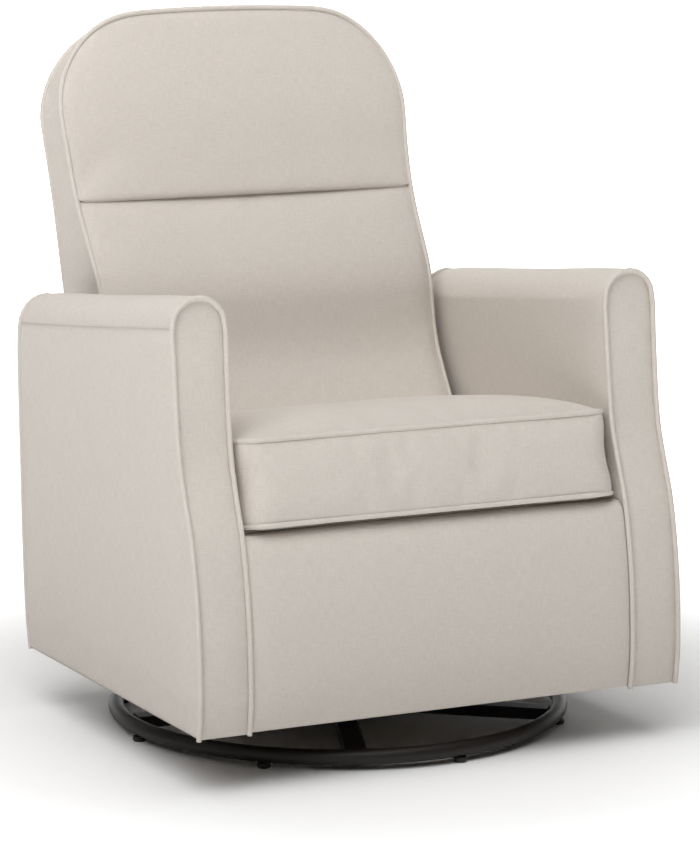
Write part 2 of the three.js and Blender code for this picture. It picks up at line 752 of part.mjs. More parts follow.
function buildBack() {
  const slot = backFrameSolid(2 * fitGap);
  const bottomOf = (v) => lerp(backFrontBottom, backRearBottom, (v + 1) / 2);
  const foldTop = () => foldHeight + fitGap;
  const lower = backBody(12, bottomOf, () => foldHeight);
  addPart('back_pad', cut(lower, slot), linen());
  const topAt = (u, v) => {
    const top = backHeight - (backRearDrop * (v + 1)) / 2;
    return backTopEdge(u, backHalfWidth(backHeight), backCornerRadius, top)[1];
  };
  addPart('headrest_pad', cut(backBody(8, foldTop, topAt), slot), linen());

  const reach = seatGap / 2 - backSideGap - backFrameMargin - frameBarWidth;
  const middleRail = foldHeight - frameBarWidth;
  const windows = [
    [backFrameBottom + frameBarWidth, middleRail],
    [middleRail + frameBarWidth, backFrameTop - frameBarWidth],
  ].map(([low, high]) => block([-reach, 0, low], [reach, 2 * rearReach, high]));
  addPart('back_frame', cut(backFrameSolid(0), ...windows), wood());
}

function backPipingPoints(seamY, bottom, padTop) {
  const points = [];
  const grow = seamOffset;
  const cornerRadius = backCornerRadius + grow;
  const top = padTop + grow;
  const widest = backHalfWidth(backHeight) + grow;
  const [, cornerEnd] = backTopEdge(1, widest, cornerRadius, top);
  const sideSteps = 18;
  const archSteps = 20;
  for (let i = 0; i < sideSteps; i += 1) {
    const z = lerp(bottom, cornerEnd, i / sideSteps);
    points.push(new THREE.Vector3(-backHalfWidth(z) - grow, seamY(z), z));
  }
  for (let i = 0; i <= archSteps; i += 1) {
    const [x, z] = backTopEdge((2 * i) / archSteps - 1, widest, cornerRadius, top);
    points.push(new THREE.Vector3(x, seamY(z), z));
  }
  for (let i = sideSteps - 1; i >= 0; i -= 1) {
    const z = lerp(bottom, cornerEnd, i / sideSteps);
    points.push(new THREE.Vector3(backHalfWidth(z) + grow, seamY(z), z));
  }
  return points;
}

function buildBackPiping() {
  const frontLine = backPipingPoints(backFrontSeamY, backFrontBottom, backHeight);
  addPart('back_front_piping', tube(frontLine, pipingRadius, 6, backPipingStep), welt());
  const rearLine = backPipingPoints(backRearSeamY, backRearBottom, backHeight - backRearDrop);
  addPart('back_rear_piping', tube(rearLine, pipingRadius, 6, backPipingStep), welt());
}

// ---------------------------------------------------------------- seat cushion
const cushionTop = cushionBottom + cushionBoxing;
const cushionReach = seatGap / 2 - cushionSideGap;

function cushionFrontSeamY(z) {
  return -cushionFrontReach + (cushionFrontSlope * (z - cushionBottom)) / cushionBoxing;
}

function cushionRearSeamY(z) {
  const pitchedZ = z - pitchDrop(backFrontPadY(z));
  return backFrontPadY(pitchedZ) - padCrown - pipingRadius - 2 * softGap;
}

// A point of a rounded rectangle, from box coordinates -1 to 1.
function roundedCorner(u, v, halfX, lowY, highY, radius) {
  const halfY = (highY - lowY) / 2;
  const x = Math.abs(u) * halfX - (halfX - radius);
  const y = Math.abs(v) * halfY - (halfY - radius);
  const shrink = x > 0 && y > 0 ? Math.max(x, y) / Math.hypot(x, y) : 1;
  const placedX = x > 0 && y > 0 ? halfX - radius + x * shrink : Math.abs(u) * halfX;
  const placedY = x > 0 && y > 0 ? halfY - radius + y * shrink : Math.abs(v) * halfY;
  return [Math.sign(u) * placedX, (lowY + highY) / 2 + Math.sign(v) * placedY];
}

function buildCushion() {
  const bottom = cushionBottom + seamOffset;
  const top = cushionTop - seamOffset;
  const cushion = shapedBox(12, 10, 4, (u, v, w) => {
    const rise = (w + 1) / 2;
    const wall = lerp(bottom, top, rise);
    const crown = rise * cushionCrown * (1 - u ** 4) * (1 - v ** 4);
    const [x, y] = roundedCorner(u, v, cushionReach - seamOffset, cushionFrontSeamY(wall) + seamOffset,
      cushionRearSeamY(wall) - seamOffset, cushionCornerRadius + pipingRadius);
    return [x, y, wall + crown];
  });
  addPart('seat_cushion', pitched(cushion), linen());
}

function buildCushionPiping() {
  [['bottom', cushionBottom], ['top', cushionTop]].forEach(([edgeName, z]) => {
    const lowY = cushionFrontSeamY(z);
    const highY = cushionRearSeamY(z);
    const flatX = cushionReach - cushionCornerRadius;
    const corners = [
      [flatX, lowY + cushionCornerRadius, -90],
      [flatX, highY - cushionCornerRadius, 0],
      [-flatX, highY - cushionCornerRadius, 90],
      [-flatX, lowY + cushionCornerRadius, 180],
    ];
    const points = [];
    corners.forEach(([x, y, start], i) => {
      [0, 30, 60, 90].forEach((turn) => {
        const angle = degToRad(start + turn);
        const cornerX = x + cushionCornerRadius * Math.cos(angle);
        points.push(new THREE.Vector3(cornerX, y + cushionCornerRadius * Math.sin(angle), z));
      });
      const next = corners[(i + 1) % corners.length];
      const last = points[points.length - 1];
      const nextAngle = degToRad(next[2]);
      const nextStart = new THREE.Vector3(
        next[0] + cushionCornerRadius * Math.cos(nextAngle),
        next[1] + cushionCornerRadius * Math.sin(nextAngle),
        z,
      );
      points.push(last.clone().lerp(nextStart, 0.25), last.clone().lerp(nextStart, 0.75));
    });
    const piping = tube(points, pipingRadius, 6, cushionPipingStep, true);
    addPart(`cushion_piping_${edgeName}`, pitched(piping), welt());
  });
}

// ---------------------------------------------------------------- assembly
buildBaseRing();
buildSpokes();
buildGlides();
buildSwivelBearing();
buildCarrier();
buildHangers();
buildLinks();
buildGlideRails();
buildSeatFrame();
buildSprings();
leftAndRight.forEach(([sideName, side]) => {
  buildArm(sideName, side);
  buildArmPiping(sideName, side);
});
buildLowerPanels();
buildBack();
buildBackPiping();
buildCushion();
buildCushionPiping();

// The origin is the centre of the chair's footprint on the floor.
const bounds = new THREE.Box3().setFromObject(chair);
const centre = bounds.getCenter(new THREE.Vector3());
chair.position.set(-centre.x, -centre.y, -bounds.min.z);

export default chair;
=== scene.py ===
import json
import math

import bmesh
import bpy
import numpy as np
from mathutils import Matrix, Vector
from mathutils.bvhtree import BVHTree
from mathutils.kdtree import KDTree


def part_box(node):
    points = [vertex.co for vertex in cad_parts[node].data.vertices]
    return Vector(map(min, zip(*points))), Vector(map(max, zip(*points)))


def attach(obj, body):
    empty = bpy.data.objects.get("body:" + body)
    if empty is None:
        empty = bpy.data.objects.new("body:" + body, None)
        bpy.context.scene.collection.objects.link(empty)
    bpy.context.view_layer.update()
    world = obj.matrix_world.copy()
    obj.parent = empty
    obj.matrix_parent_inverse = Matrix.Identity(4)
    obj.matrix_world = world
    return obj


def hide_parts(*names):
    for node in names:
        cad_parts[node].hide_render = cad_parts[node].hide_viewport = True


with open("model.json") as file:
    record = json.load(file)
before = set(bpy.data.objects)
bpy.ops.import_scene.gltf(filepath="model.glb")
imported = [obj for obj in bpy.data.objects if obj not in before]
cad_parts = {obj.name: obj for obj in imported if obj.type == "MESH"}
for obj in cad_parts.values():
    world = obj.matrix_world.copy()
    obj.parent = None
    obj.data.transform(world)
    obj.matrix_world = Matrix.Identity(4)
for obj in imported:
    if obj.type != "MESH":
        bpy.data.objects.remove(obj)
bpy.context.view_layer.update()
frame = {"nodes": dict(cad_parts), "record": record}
nodes = frame["nodes"]
scene = bpy.context.scene
welt = {"radius": 0.0035, "sides": 12, "step": 0.004, "clear": 0.001}
seam = (welt["radius"] + welt["clear"]) / math.sqrt(2)  # pad edge to the middle of its welt
ringReach = 0.0078  # the points of one ring of a CAD welt lie closer together than this
sideAt = 0.999  # past this a cube coordinate lies on a side of the cube


# Curves.
# A smooth function through the given values, level past its ends.
def smoothCurve(keys, values):
    order = np.argsort(keys)
    k, v = np.asarray(keys, float)[order], np.asarray(values, float)[order]
    keep = np.concatenate([[True], np.diff(k) > 1e-5])  # no key twice
    k, v = k[keep], v[keep]
    slope = np.gradient(v, k)

    def at(x):
        x = np.clip(np.asarray(x, float), k[0], k[-1])
        i = np.clip(np.searchsorted(k, x) - 1, 0, len(k) - 2)
        h = k[i + 1] - k[i]
        t = (x - k[i]) / h
        a = (1 + 2 * t) * (1 - t) ** 2 * v[i] + t * (1 - t) ** 2 * h * slope[i]
        return a + t * t * (3 - 2 * t) * v[i + 1] + t * t * (t - 1) * h * slope[i + 1]

    return at


# A share t of the way from a to b.
def lerp(a, b, t):
    return a + (b - a) * t


# From 0 to 1 with a soft start and end.
def ease(t):
    t = np.clip(t, 0, 1)
    return t * t * (3 - 2 * t)


# Centres of a CAD welt's rings, in order along it.
def weltLine(node, closed=False):
    points = np.unique(np.round([v.co for v in nodes[node].data.vertices], 5), axis=0)
    centres = []
    while len(points):
        near = np.linalg.norm(points - points[0], axis=1) < ringReach
        centres.append(points[near].mean(0))
        points = points[~near]
    centres = np.array(centres)
    # an open welt starts at its lower end, or at the left one of two level ends
    start = 0 if closed else int(np.argmin(centres[:, 2] * 10 + centres[:, 0]))
    line = [centres[start]]
    rest = np.delete(centres, start, 0)
    while len(rest):
        nearest = int(np.argmin(np.linalg.norm(rest - line[-1], axis=1)))
        line.append(rest[nearest])
        rest = np.delete(rest, nearest, 0)
    return resample(np.array(line), welt["step"], closed)


# A smooth curve through the points, with new points an even step apart.
def resample(line, step, closed=False):
    if closed:
        pad = np.vstack([line[-1:], line, line[:2]])
    else:
        pad = np.vstack([2 * line[0] - line[1], line, 2 * line[-1] - line[-2]])
    t = np.linspace(0, 1, 12, endpoint=False)[:, None]  # twelve short steps between two points
    fine = []
    for p0, p1, p2, p3 in zip(pad, pad[1:], pad[2:], pad[3:]):
        bend = (2 * p0 - 5 * p1 + 4 * p2 - p3) * t**2 + (3 * p1 - p0 - 3 * p2 + p3) * t**3
        fine.append(0.5 * (2 * p1 + (p2 - p0) * t + bend))
    fine = np.vstack(fine + [line[:1] if closed else line[-1:]])
    run = np.concatenate([[0], np.cumsum(np.linalg.norm(np.diff(fine, axis=0), axis=1))])
    count = max(2, int(round(run[-1] / step)))
    at = np.linspace(0, run[-1], count + 1)[: count if closed else count + 1]
    return np.stack([np.interp(at, run, fine[:, k]) for k in range(3)], 1)


# A CAD node's surface, for finding where a ray meets it.
def treeOf(node):
    mesh = nodes[node].data
    return BVHTree.FromPolygons([v.co for v in mesh.vertices], [p.vertices[:] for p in mesh.polygons])


# Materials.
# An sRGB hex colour as linear RGBA.
def hexColour(text):
    parts = [int(text[i : i + 2], 16) / 255 for i in (0, 2, 4)]
    return (*[c / 12.92 if c <= 0.04045 else ((c + 0.055) / 1.055) ** 2.4 for c in parts], 1)


# Adds a node, sets it, and links each input that is given a socket.
def addNode(tree, kind, inputs=(), **settings):
    node = tree.nodes.new(kind)
    for key, value in settings.items():
        setattr(node, key, value)
    for key, value in dict(inputs).items():
        if isinstance(value, bpy.types.NodeSocket):
            tree.links.new(value, node.inputs[key])
        else:
            node.inputs[key].default_value = value
    return node


def newMaterial(name):
    material = bpy.data.materials.new(name)
    material.use_nodes = True
    tree = material.node_tree
    return material, tree, tree.nodes["Principled BSDF"]


weave = {
    "wave": 0.02,  # length of the slow waves that the threads run in
    "drift": 1.6,  # how far they wander, in threads
    "slub": 0.9,  # width of a thick place in a thread, in threads
    "streak": 0.07,  # its width over its length
    "slubHeight": 2.5,  # against the weave's own
    "patch": 0.05,  # size of the faint lighter and darker patches
    "patchShade": 0.985,  # the darkest patches against the lightest
    "bump": 0.55,
    "relief": 0.16,  # height of the weave, in threads
    "roughness": 0.92,
    "sheen": 0.12,
    "sheenRoughness": 0.5,
    "shine": 0.2,
}


# Plain-weave cloth with slubs along both threads. Sizes are in metres along the UV map; the
# threads are drawn about twice as coarse as real ones, so that they still show.
def clothMaterial(name, cloth):
    material, tree, shader = newMaterial(name)
    thread = cloth["thread"]
    uv = addNode(tree, "ShaderNodeTexCoord").outputs["UV"]
    turning = {"Vector": uv, "Rotation": (0, 0, cloth["turn"])}
    turned = addNode(tree, "ShaderNodeMapping", turning).outputs[0]
    wander, patch = [
        addNode(tree, "ShaderNodeTexNoise", {"Vector": turned, "Scale": 1 / size, "Detail": 3.0}).outputs[0]
        for size in (weave["wave"], weave["patch"])
    ]
    parts = addNode(tree, "ShaderNodeSeparateXYZ", {0: turned})
    threads, slubs = [], []
    # one set of threads runs along each direction, with its own thick places
    for axis, stretch in enumerate(((weave["streak"], 1, 1), (1, weave["streak"], 1))):
        place = addNode(
            tree, "ShaderNodeMath", {0: wander, 1: thread * weave["drift"], 2: parts.outputs[axis]},
            operation="MULTIPLY_ADD",
        )
        phase = addNode(
            tree, "ShaderNodeMath", {0: place.outputs[0], 1: math.pi / thread}, operation="MULTIPLY"
        )
        threads.append(addNode(tree, "ShaderNodeMath", {0: phase.outputs[0]}, operation="SINE").outputs[0])
        scale = tuple(s / (thread * weave["slub"]) for s in stretch)
        drawn = addNode(tree, "ShaderNodeMapping", {"Vector": turned, "Scale": scale}).outputs[0]
        streaks = addNode(tree, "ShaderNodeTexNoise", {"Vector": drawn, "Scale": 1.0, "Detail": 2.0})
        slubs.append(streaks.outputs[0])
    slub = addNode(tree, "ShaderNodeMath", {0: slubs[0], 1: slubs[1]}, operation="ADD").outputs[0]
    # thick places are lighter, and faint patches shade the whole
    tone = addNode(tree, "ShaderNodeMapRange", {0: slub, 1: 0.5, 2: 1.5, 3: 0.0, 4: 1.0}).outputs[0]
    yarn = addNode(
        tree, "ShaderNodeMix", {0: tone, 6: hexColour(cloth["dark"]), 7: hexColour(cloth["light"])},
        data_type="RGBA", blend_type="MIX",
    ).outputs[2]
    shade = addNode(
        tree, "ShaderNodeMapRange", {0: patch, 1: 0.3, 2: 0.7, 3: weave["patchShade"], 4: 1.0}
    ).outputs[0]
    grey = addNode(tree, "ShaderNodeCombineXYZ", {0: shade, 1: shade, 2: shade}).outputs[0]
    colour = addNode(
        tree, "ShaderNodeMix", {0: 1.0, 6: yarn, 7: grey}, data_type="RGBA", blend_type="MULTIPLY"
    ).outputs[2]
    # relief: the weave's checks with the thick places on them
    checks = addNode(tree, "ShaderNodeMath", {0: threads[0], 1: threads[1]}, operation="MULTIPLY")
    raised = addNode(tree, "ShaderNodeMath", {0: slub, 1: weave["slubHeight"]}, operation="MULTIPLY")
    height = addNode(tree, "ShaderNodeMath", {0: checks.outputs[0], 1: raised.outputs[0]}, operation="ADD")
    relief = {"Strength": weave["bump"], "Distance": thread * weave["relief"], "Height": height.outputs[0]}
    bump = addNode(tree, "ShaderNodeBump", relief)
    tree.links.new(colour, shader.inputs["Base Color"])
    tree.links.new(bump.outputs[0], shader.inputs["Normal"])
    shader.inputs["Roughness"].default_value = weave["roughness"]
    shader.inputs["Sheen Weight"].default_value = weave["sheen"]
    shader.inputs["Sheen Roughness"].default_value = weave["sheenRoughness"]
    shader.inputs["Specular IOR Level"].default_value = weave["shine"]
    return material


# A solid finish with one fine grain that drives its colour, roughness and relief.
def plainMaterial(name, kind):
    material, tree, shader = newMaterial(name)
    where = addNode(tree, "ShaderNodeTexCoord").outputs["Object"]
    scale = tuple(s / kind["grain"] for s in kind["stretch"])
    drawn = addNode(tree, "ShaderNodeMapping", {"Vector": where, "Scale": scale}).outputs[0]
    grain = addNode(tree, "ShaderNodeTexNoise", {"Vector": drawn, "Scale": 1.0, "Detail": 4.0}).outputs[0]
    colour = addNode(
        tree, "ShaderNodeMix", {0: grain, 6: hexColour(kind["dark"]), 7: hexColour(kind["light"])},
        data_type="RGBA", blend_type="MIX",
    ).outputs[2]
    low, high = kind["roughness"]
    # the noise keeps mostly between 0.3 and 0.7
    rough = addNode(tree, "ShaderNodeMapRange", {0: grain, 1: 0.3, 2: 0.7, 3: low, 4: high}).outputs[0]
    bump = addNode(tree, "ShaderNodeBump", {"Strength": 0.4, "Distance": kind["relief"], "Height": grain})
    tree.links.new(colour, shader.inputs["Base Color"])
    tree.links.new(rough, shader.inputs["Roughness"])
    tree.links.new(bump.outputs[0], shader.inputs["Normal"])
    shader.inputs["Metallic"].default_value = kind["metal"]
    return material


# Linen-look polyester upholstery cloth, plain weave: matt, with fine uneven threads.
linen = clothMaterial(
    "linenLookFabric", {"thread": 0.0011, "turn": 0.0, "light": "D6CFC7", "dark": "C2BAB1"}
)
# The same cloth cut on the bias round a cord, a shade lighter where it is stretched.
weltCloth = clothMaterial(
    "weltFabric", {"thread": 0.0011, "turn": math.radians(45), "light": "D8D1C9", "dark": "C5BDB4"}
)
# Plain unbleached lining cloth under the loose cushion: coarser and browner.
deckCloth = clothMaterial(
    "deckCloth", {"thread": 0.0014, "turn": 0.0, "light": "B8B0A4", "dark": "9A9287"}
)
# Steel tube and bar, powder coated dark bronze: even, soft satin gloss with a fine grain.
bronze = plainMaterial(
    "bronzePowderCoat",
    {"grain": 0.0012, "stretch": (1, 1, 1), "dark": "130D0A", "light": "1C140F",
     "roughness": (0.45, 0.58), "relief": 0.00008, "metal": 0.1},
)
# Zinc-plated pressed steel: bright grey metal with a faint cloudy sheen.
zinc = plainMaterial(
    "zincPlatedSteel",
    {"grain": 0.01, "stretch": (1, 1, 1), "dark": "8A8C8E", "light": "B4B6B8",
     "roughness": (0.28, 0.42), "relief": 0.00002, "metal": 1.0},
)
# Moulded black nylon glides: dull and slightly grained.
nylon = plainMaterial(
    "glideNylon",
    {"grain": 0.002, "stretch": (1, 1, 1), "dark": "151310", "light": "1F1C19",
     "roughness": (0.5, 0.62), "relief": 0.00003, "metal": 0.0},
)
# Unfinished rubberwood and plywood of the frame: pale, sawn and matt, with long grain.
timber = plainMaterial(
    "frameTimber",
    {"grain": 0.004, "stretch": (1, 0.06, 1), "dark": "A9824F", "light": "D3B284",
     "roughness": (0.55, 0.75), "relief": 0.00015, "metal": 0.0},
)
print("materials made")


# Pieces.
# Makes the object with its material, hangs it on its body and hides the CAD nodes that it stands for.
def addPiece(name, bm, body, material, stands=()):
    mesh = bpy.data.meshes.new(name)
    bm.to_mesh(mesh)
    bm.free()
    mesh.polygons.foreach_set("use_smooth", [True] * len(mesh.polygons))
    piece = bpy.data.objects.new(name, mesh)
    scene.collection.objects.link(piece)
    mesh.materials.append(material)
    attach(piece, body)
    if stands:
        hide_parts(*stands)
    return piece


# A cube of quads cut steps times along each axis, with the three cube coordinates of its vertices.
def cubeGrid(steps):
    bm = bmesh.new()
    bmesh.ops.create_cube(bm, size=2)
    for axis in range(3):
        # the edges that still run the cube's whole length of 2
        whole = [e for e in bm.edges if abs(e.verts[0].co[axis] - e.verts[1].co[axis]) > 1.9]
        bmesh.ops.subdivide_edges(bm, edges=whole, cuts=steps[axis] - 1, use_grid_fill=True)
    bm.verts.ensure_lookup_table()
    return bm, np.array([v.co for v in bm.verts])


# UV in metres: each side of the cube is laid flat along its two long directions.
def unwrap(bm, cube, across):
    layer = bm.loops.layers.uv.new("UVMap")
    for face in bm.faces:
        corners = cube[[v.index for v in face.verts]]
        axis = int(np.argmax(np.abs(corners.mean(0))))
        for loop in face.loops:
            x, y, z = loop.vert.co
            if axis == 2 and across is not None:
                x = across(cube[loop.vert.index])
            loop[layer].uv = ((y, z), (x, z), (x, y))[axis]


# Draws the outermost rows of the grid in to the given share of an axis from its ends.
def tighten(cube, steps, shares):
    tight = cube.copy()
    for axis, share in enumerate(shares):
        second = 1 - 2 / steps[axis]
        size = np.interp(np.abs(cube[:, axis]), [0, second, 1], [0, 1 - share, 1])
        tight[:, axis] = np.sign(cube[:, axis]) * size
    return tight


# Outward normals of a closed shape.
def vertexNormals(bm):
    bmesh.ops.recalc_face_normals(bm, faces=bm.faces)
    bm.normal_update()
    return np.array([v.normal for v in bm.verts])


# Fabric swells away from its seams: full puff once it is the given width from a pinned vertex.
def swell(co, normals, pinned, puff):
    tree = KDTree(int(pinned.sum()))
    for i, index in enumerate(np.flatnonzero(pinned)):
        tree.insert(co[index], i)
    tree.balance()
    away = np.array([tree.find(p)[2] for p in co])
    share = np.sin(np.clip(away / puff["width"], 0, 1) * math.pi / 2)
    return co + normals * (puff["height"] * share)[:, None]


fabric = {"quality": 5, "mass": 0.3, "stretch": 20, "shear": 8}  # the cloth of every cover


# Inflates the cover as cloth held at its seams, and keeps its folds to at most the given depth.
def relaxCloth(piece, pinned, cloth):
    if not cloth:
        return
    count = len(piece.data.vertices)
    start = np.empty(count * 3)
    piece.data.vertices.foreach_get("co", start)
    group = piece.vertex_groups.new(name="held")
    group.add([int(i) for i in np.flatnonzero(pinned)], 1.0, "REPLACE")
    modifier = piece.modifiers.new("cloth", "CLOTH")
    settings = modifier.settings
    settings.quality = fabric["quality"]
    settings.mass = fabric["mass"]
    settings.tension_stiffness = settings.compression_stiffness = fabric["stretch"]
    settings.shear_stiffness = fabric["shear"]
    settings.bending_stiffness = cloth["bend"]
    settings.vertex_group_mass = "held"
    settings.shrink_min = -cloth["slack"]
    settings.use_pressure = True
    settings.uniform_pressure_force = cloth["pressure"]
    settings.effector_weights.gravity = 0
    modifier.collision_settings.use_collision = False
    modifier.point_cache.frame_start = 1
    modifier.point_cache.frame_end = cloth["frames"]
    for number in range(1, cloth["frames"] + 1):
        scene.frame_set(number)
        bpy.context.view_layer.update()
    shaped = piece.evaluated_get(bpy.context.evaluated_depsgraph_get()).data
    end = np.empty(count * 3)
    shaped.vertices.foreach_get("co", end)
    piece.modifiers.remove(modifier)
    piece.vertex_groups.clear()
    scene.frame_set(1)
    move = (end - start).reshape(-1, 3)
    length = np.linalg.norm(move, axis=1, keepdims=True)
    limited = cloth["cap"] * np.tanh(length / cloth["cap"])
    kept = start.reshape(-1, 3) + move * limited / np.maximum(length, 1e-9)
    piece.data.vertices.foreach_set("co", kept.ravel())
    piece.data.update()


# One cover: a cube grid set by place(cube), swollen from its seams, relaxed and subdivided.
def makeCover(name, spec, place, isSeam, body="chair", stands=(), across=None):
    bm, cube = cubeGrid(spec["steps"])
    cube = tighten(cube, spec["steps"], spec["rows"])
    co = place(cube)
    for vert, point in zip(bm.verts, co):
        vert.co = point
    pinned = isSeam(cube)
    normals = vertexNormals(bm)
    co = swell(co, normals, pinned, spec["puff"])
    co[pinned] -= normals[pinned] * spec["sink"]
    unwrap(bm, cube, across)
    for vert, point in zip(bm.verts, co):
        vert.co = point
    crease = bm.edges.layers.float.new("crease_edge")
    for edge in bm.edges:
        if all(pinned[v.index] for v in edge.verts):
            edge[crease] = 1.0
    material, slotName = spec.get("finish", (linen, "linen_fabric"))
    piece = addPiece(name, bm, body, material, stands)
    relaxCloth(piece, pinned, spec.get("cloth"))
    smooth = piece.modifiers.new("smooth", "SUBSURF")
    smooth.levels = smooth.render_levels = 1
    print(name, len(piece.data.vertices))
    return piece


# Welts: a round cord swept along a line, its UV running along it in metres.
def makeWelt(name, line, body, stands=(), closed=False, gather=None):
    sides, radius = welt["sides"], welt["radius"]
    count = len(line)
    if closed:
        ahead = np.roll(line, -1, 0) - np.roll(line, 1, 0)
    else:
        ahead = np.gradient(line, axis=0)
    ahead /= np.linalg.norm(ahead, axis=1, keepdims=True)
    side = np.cross(ahead[0], (0.3, 0.2, 1.0))  # any direction that no welt starts along
    bm = bmesh.new()
    layer = bm.loops.layers.uv.new("UVMap")
    rings, run = [], 0.0
    runs = []
    for i, (point, forward) in enumerate(zip(line, ahead)):
        side = side - forward * side.dot(forward)
        side /= np.linalg.norm(side)
        up = np.cross(forward, side)
        run += 0.0 if i == 0 else float(np.linalg.norm(point - line[i - 1]))
        runs.append(run)
        ring = []
        for k in range(sides):
            angle = 2 * math.pi * k / sides
            thick = radius * (1 + (gather(i, angle) if gather else 0.0))
            ring.append(bm.verts.new(point + (side * math.cos(angle) + up * math.sin(angle)) * thick))
        rings.append(ring)
    pairs = list(zip(range(count), range(1, count))) + ([(count - 1, 0)] if closed else [])
    for a, b in pairs:
        for k in range(sides):
            n = (k + 1) % sides
            face = bm.faces.new((rings[a][k], rings[b][k], rings[b][n], rings[a][n]))
            far = runs[b] if b else runs[-1] + welt["step"]
            girth = 2 * math.pi * radius / sides
            low, high = k * girth, (k + 1) * girth
            spots = ((runs[a], low), (far, low), (far, high), (runs[a], high))
            for loop, spot in zip(face.loops, spots):
                loop[layer].uv = spot
    if not closed:
        bm.faces.new(rings[0])
        bm.faces.new(list(reversed(rings[-1])))
    bmesh.ops.recalc_face_normals(bm, faces=bm.faces)
    return addPiece(name, bm, body, weltCloth, stands)


# Arms.
arm = {
    "steps": (16, 56, 58),  # rows of quads along each axis
    "rows": (0.06, 0.012, 0.012),  # width of the outermost rows, as shares of the half size
    "sink": 0.003,  # seams below their welts
    "puff": {"height": 0.0025, "width": 0.022},  # swelling, and how far from a seam it is full
    "cloth": {"pressure": 1.4, "slack": 0.004, "bend": 6.0, "frames": 16, "cap": 0.0015},
    "fill": 0.85,
    "gatherDepth": 0.11,  # of the welt's radius
    "gatherFrom": 1.5,  # arch radii below the top
    "gatherOver": 0.8,  # arch radii until they are full
    "gatherPitch": 2.4,
    "hemDrop": 0.002,
    "crownShare": 0.3,  # of the pad's crown, along the top
    "panelDepth": 0.0035,  # front and rear panels behind their welts
    "ridgeInset": 0.012,
    "ridgeSteps": 12,
}
armFront = weltLine("arm_front_piping_left")
armRear = weltLine("arm_rear_piping_left")
frontTop, rearTop = armFront[:, 2].max(), armRear[:, 2].max()
outerX = armFront[:, 0].min()
archMiddle = armFront[np.argmax(armFront[:, 2]), 0]
archRadius = archMiddle - outerX
innerSide = armFront[(armFront[:, 0] > archMiddle) & (armFront[:, 2] < frontTop - archRadius)]
innerX = smoothCurve(innerSide[:, 2], innerSide[:, 0])
armFrontY = smoothCurve(armFront[:, 2], armFront[:, 1])
armRearY = smoothCurve(armRear[:, 2], armRear[:, 1])
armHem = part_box("arm_pad_left")[0].z - arm["hemDrop"]
padTree = treeOf("arm_pad_left")
ridgeStart, ridgeStop = armFrontY(frontTop) + arm["ridgeInset"], armRearY(rearTop) - arm["ridgeInset"]
ridgeYs = np.linspace(ridgeStart, ridgeStop, arm["ridgeSteps"])
down = Vector((0, 0, -1))
ridgeZs = [padTree.ray_cast(Vector((archMiddle, y, 1)), down)[0].z + seam for y in ridgeYs]
ridgeKeys = [armFrontY(frontTop), *ridgeYs, armRearY(rearTop)]
armRidge = smoothCurve(ridgeKeys, [frontTop, *ridgeZs, rearTop])


# Across an arm the cube's side-to-side coordinate becomes the lean of its rounded top.
def armPoint(cube):
    u, v, w = cube.T
    lean, along, rise = u * math.pi / 2, (v + 1) / 2, (w + 1) / 2
    topY = lerp(armFrontY(frontTop), armRearY(rearTop), along)
    level = lerp(frontTop, rearTop, along)
    crown = arm["crownShare"] * (armRidge(topY) - level)
    top = level - archRadius + (archRadius + crown) * np.cos(lean)
    z = lerp(armHem, top, rise)
    y = lerp(armFrontY(z), armRearY(z), along)
    panel = (np.abs(v) > sideAt) & (np.abs(u) < sideAt) & (np.abs(w) < sideAt)
    y = y - np.where(panel, arm["panelDepth"], 0) * np.sign(v)
    inner = innerX(z)
    middle, half = (outerX + inner) / 2, (inner - outerX) / 2
    return np.stack([middle + half * np.sin(lean), y, z], 1)


# Sewn down: the welted edges, the hem and the line under the rounded top.
def armSeam(cube):
    u, v, w = np.abs(cube).T
    edge = (v > sideAt) & ((u > sideAt) | (cube[:, 2] > sideAt))
    outer = (cube[:, 0] < -sideAt) & (cube[:, 2] > sideAt)
    return edge | outer | (cube[:, 2] < -sideAt)


leftArm = makeCover(
    "armCoverLeft", arm, armPoint, armSeam, stands=("arm_pad_left", "arm_board_left"),
    across=lambda c: c[0] * archRadius * math.pi / 2,
)


# The right arm is the left one mirrored.
def mirrored(piece, name, stands):
    mesh = piece.data.copy()
    mesh.transform(Matrix.Scale(-1, 4, (1, 0, 0)))
    mesh.flip_normals()
    twin = bpy.data.objects.new(name, mesh)
    scene.collection.objects.link(twin)
    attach(twin, "chair")
    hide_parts(*stands)
    smooth = twin.modifiers.new("smooth", "SUBSURF")
    smooth.levels = smooth.render_levels = 1
    return twin


mirrored(leftArm, "armCoverRight", ("arm_pad_right", "arm_board_right"))

rng = np.random.default_rng(7)


# The welt's cloth bunches up a little round the arch.
def gathers(line, top):
    ticks = rng.uniform(0.6, 1.4, len(line))

    def depth(i, angle):
        above = line[i][2] - (top - archRadius * arm["gatherFrom"])
        curved = ease(above / (archRadius * arm["gatherOver"]))
        return arm["gatherDepth"] * curved * ticks[i] * math.sin(i * arm["gatherPitch"])

    return depth


for sideName, side in (("Left", 1), ("Right", -1)):
    for endName, whole, top in (("front", armFront, frontTop), ("rear", armRear, rearTop)):
        node = f"arm_{endName}_piping_{sideName.lower()}"
        line = whole[whole[:, 2] > armHem - arm["hemDrop"] / 2]
        welted = f"arm{endName.title()}Welt{sideName}"
        makeWelt(welted, line * (side, 1, 1), "chair", (node,), gather=gathers(line, top))
print("arms done")


